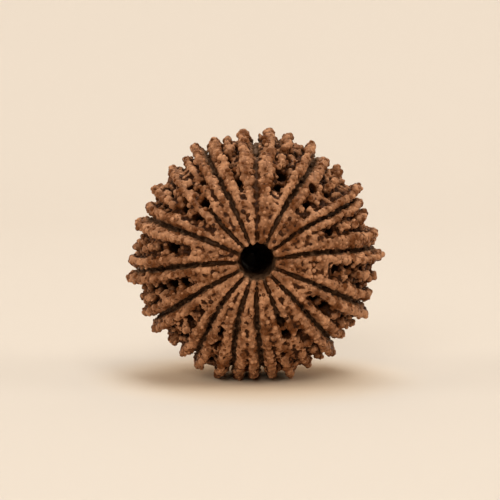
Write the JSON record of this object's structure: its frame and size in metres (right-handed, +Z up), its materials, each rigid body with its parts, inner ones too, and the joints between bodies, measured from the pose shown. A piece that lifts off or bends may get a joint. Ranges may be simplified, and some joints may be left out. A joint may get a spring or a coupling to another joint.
{
  "type": "rudraksha seed",
  "caption": "Round, deeply grooved seed stone with knobbly crests, a pitted net between them and a canal through its middle, standing on its rim.",
  "frame": {"origin": "on the ground under the middle of the stone's box", "axes": "+Z up, +Y along the canal away from its wide mouth, +X to the right of someone looking into that mouth"},
  "size_m": [0.0282, 0.0214, 0.0272],
  "materials": {
    "shell": "dry, rough brown seed shell, dark in its pits"
  },
  "bodies": {
    "root": {"seed": "shell"}
  },
  "joints": []
}
